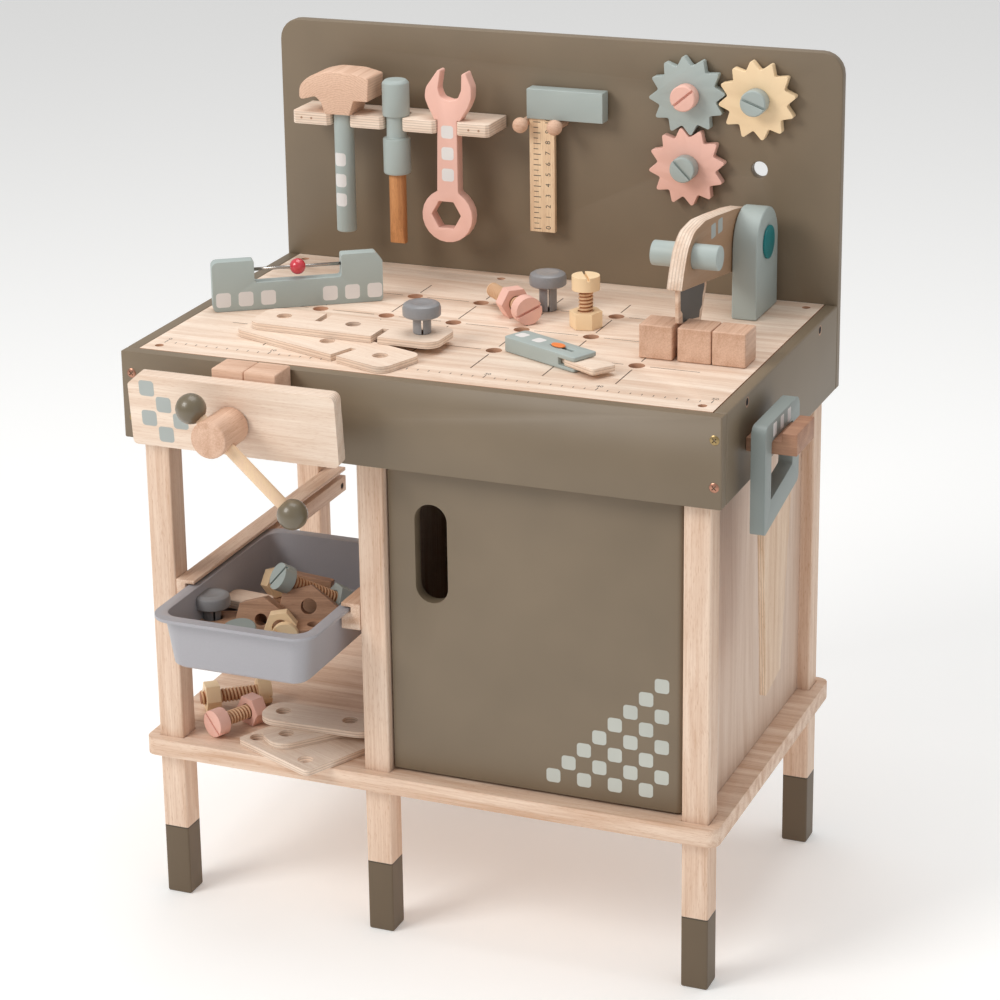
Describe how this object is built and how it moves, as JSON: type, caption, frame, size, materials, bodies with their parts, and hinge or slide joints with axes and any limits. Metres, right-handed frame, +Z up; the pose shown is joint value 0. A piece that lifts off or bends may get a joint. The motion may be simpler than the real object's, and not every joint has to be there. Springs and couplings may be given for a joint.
{
  "type": "toy workbench",
  "caption": "Wooden toy workbench with hole-grid worktop, vise, sliding tray, cabinet door, meshing gears, chop saw, rack and removable toy tools.",
  "frame": {"origin": "on the floor, under the middle of the whole bench's bounding box", "axes": "+Z up, -Y towards the child who uses the bench, +X to that child's right"},
  "size_m": [0.59, 0.4461, 0.753],
  "materials": {
    "taupe": "painted taupe, satin",
    "light_wood": "pale sanded pine and birch ply",
    "beech": "beech, smooth",
    "blue_grey": "painted grey-blue, satin",
    "pink": "painted pale pink, satin",
    "cream": "painted cream yellow, satin",
    "grey_plastic": "moulded grey plastic",
    "olive": "painted olive brown, glossy",
    "brown_wood": "stained copper brown",
    "teal": "painted teal, satin",
    "red": "lacquered red, glossy",
    "steel": "plain steel"
  },
  "bodies": {
    "bench": {"back_panel": "taupe", "cabinet_back": "light_wood", "cabinet_partition": "light_wood", "cabinet_side_panel": "light_wood", "chop_saw_pivot": "teal", "chop_saw_stand": "blue_grey", "door_header": "light_wood", "door_hinge_pin": "steel", "front_board": "taupe", "gear_blue_bolt": "pink", "gear_pink_bolt": "blue_grey", "gear_yellow_bolt": "blue_grey", "left_board": "taupe", "leg_front_left": "light_wood", "leg_front_middle": "light_wood", "leg_front_right": "light_wood", "leg_rear_left": "light_wood", "leg_rear_middle": "light_wood", "leg_rear_right": "light_wood", "right_board": "taupe", "saw_hook": "beech", "shelf": "light_wood", "square_peg_left": "beech", "square_peg_right": "beech", "tool_rack": "light_wood", "tray_rail_left": "light_wood", "tray_rail_right": "light_wood", "vise_nut": "beech", "worktop": "light_wood"},
    "door": {"door": "taupe"},
    "tray": {"tray": "grey_plastic"},
    "vise_jaw": {"vise_jaw": "light_wood"},
    "vise_screw": {"vise_screw": "beech"},
    "vise_bar": {"vise_bar": "light_wood", "vise_ball_near": "olive", "vise_ball_far": "olive"},
    "clamped_cube_left": {"clamped_cube_left": "beech"},
    "clamped_cube_right": {"clamped_cube_right": "beech"},
    "handsaw": {"handsaw_handle": "blue_grey", "handsaw_blade": "light_wood"},
    "chop_saw": {"chop_saw_arm": "light_wood", "chop_saw_blade": "light_wood", "chop_saw_handle": "blue_grey"},
    "gear_blue": {"gear_blue": "blue_grey"},
    "gear_yellow": {"gear_yellow": "cream"},
    "gear_pink": {"gear_pink": "pink"},
    "try_square": {"try_square_head": "blue_grey", "try_square_blade": "light_wood"},
    "hammer": {"hammer_head": "beech", "hammer_handle": "blue_grey"},
    "screwdriver": {"screwdriver_handle": "blue_grey", "screwdriver_blade": "brown_wood"},
    "wrench": {"wrench": "pink"},
    "level": {"level_body": "blue_grey", "level_rod": "steel"},
    "level_bead": {"level_bead": "red"},
    "knife": {"knife_body": "blue_grey"},
    "knife_blade": {"knife_blade": "light_wood"},
    "cream_nut": {"cream_nut": "cream"},
    "cream_bolt": {"cream_bolt": "cream"}
  },
  "joints": [
    {"name": "door_hinge", "type": "hinge", "parent": "bench", "child": "door", "pos_m": [0.2067, -0.1102, 0.301], "axis": [0, 0, 1], "range_deg": [0, 95]},
    {"name": "tray_slide", "type": "slide", "parent": "bench", "child": "tray", "axis": [0, -1, 0], "range_m": [-0.075, 0.12]},
    {"name": "vise_jaw_slide", "type": "slide", "parent": "bench", "child": "vise_jaw", "axis": [0, -1, 0], "range_m": [0, 0.028]},
    {"name": "vise_screw_turn", "type": "hinge", "parent": "vise_jaw", "child": "vise_screw", "pos_m": [-0.167, -0.1962, 0.4845], "axis": [0, -1, 0], "range_deg": [0, 1690]},
    {"name": "vise_bar_slide", "type": "slide", "parent": "vise_screw", "child": "vise_bar", "axis": [-0.7396, 0, 0.673], "range_m": [0, 0.061]},
    {"name": "clamped_cube_left_lift", "type": "slide", "parent": "bench", "child": "clamped_cube_left", "axis": [0, 0, 1], "range_m": [0, 0.05]},
    {"name": "clamped_cube_right_lift", "type": "slide", "parent": "bench", "child": "clamped_cube_right", "axis": [0, 0, 1], "range_m": [0, 0.05]},
    {"name": "handsaw_lift", "type": "slide", "parent": "bench", "child": "handsaw", "axis": [0, 0, 1], "range_m": [0, 0.025]},
    {"name": "chop_saw_hinge", "type": "hinge", "parent": "bench", "child": "chop_saw", "pos_m": [0.1665, 0.1588, 0.589], "axis": [-1, 0, 0], "range_deg": [-9, 60]},
    {"name": "gear_blue_turn", "type": "hinge", "parent": "bench", "child": "gear_blue", "pos_m": [0.111, 0.1928, 0.708], "axis": [0, -1, 0], "continuous": true},
    {"name": "gear_yellow_turn", "type": "hinge", "parent": "bench", "child": "gear_yellow", "pos_m": [0.176, 0.1928, 0.708], "axis": [0, -1, 0], "continuous": true},
    {"name": "gear_pink_turn", "type": "hinge", "parent": "bench", "child": "gear_pink", "pos_m": [0.111, 0.1928, 0.643], "axis": [0, -1, 0], "continuous": true},
    {"name": "try_square_lift", "type": "slide", "parent": "bench", "child": "try_square", "axis": [0, 0, 1], "range_m": [0, 0.1]},
    {"name": "hammer_lift", "type": "slide", "parent": "bench", "child": "hammer", "axis": [0, 0, 1], "range_m": [0, 0.13]},
    {"name": "screwdriver_pull", "type": "slide", "parent": "bench", "child": "screwdriver", "axis": [0, -1, 0], "range_m": [0, 0.045]},
    {"name": "wrench_pull", "type": "slide", "parent": "bench", "child": "wrench", "axis": [0, -1, 0], "range_m": [0, 0.045]},
    {"name": "level_lift", "type": "slide", "parent": "bench", "child": "level", "axis": [0, 0, 1], "range_m": [0, 0.1]},
    {"name": "level_bead_slide", "type": "slide", "parent": "level", "child": "level_bead", "axis": [0.8329, 0.5534, 0], "range_m": [-0.031, 0.031]},
    {"name": "knife_lift", "type": "slide", "parent": "bench", "child": "knife", "axis": [0, 0, 1], "range_m": [0, 0.08]},
    {"name": "knife_blade_slide", "type": "slide", "parent": "knife", "child": "knife_blade", "axis": [0.8988, -0.4384, 0], "range_m": [-0.005, 0.014]},
    {"name": "cream_nut_lift", "type": "slide", "parent": "bench", "child": "cream_nut", "axis": [0, 0, 1], "range_m": [0, 0.08]},
    {"name": "cream_bolt_turn", "type": "hinge", "parent": "cream_nut", "child": "cream_bolt", "pos_m": [0.0608, 0.0637, 0.545], "axis": [0, 0, 1], "continuous": true}
  ],
  "couplings": [
    {"joint": "vise_screw_turn", "follows": "vise_jaw_slide", "rad_per_m": 1047.2},
    {"joint": "gear_yellow_turn", "follows": "gear_blue_turn", "ratio": -1},
    {"joint": "gear_pink_turn", "follows": "gear_blue_turn", "ratio": -1}
  ]
}
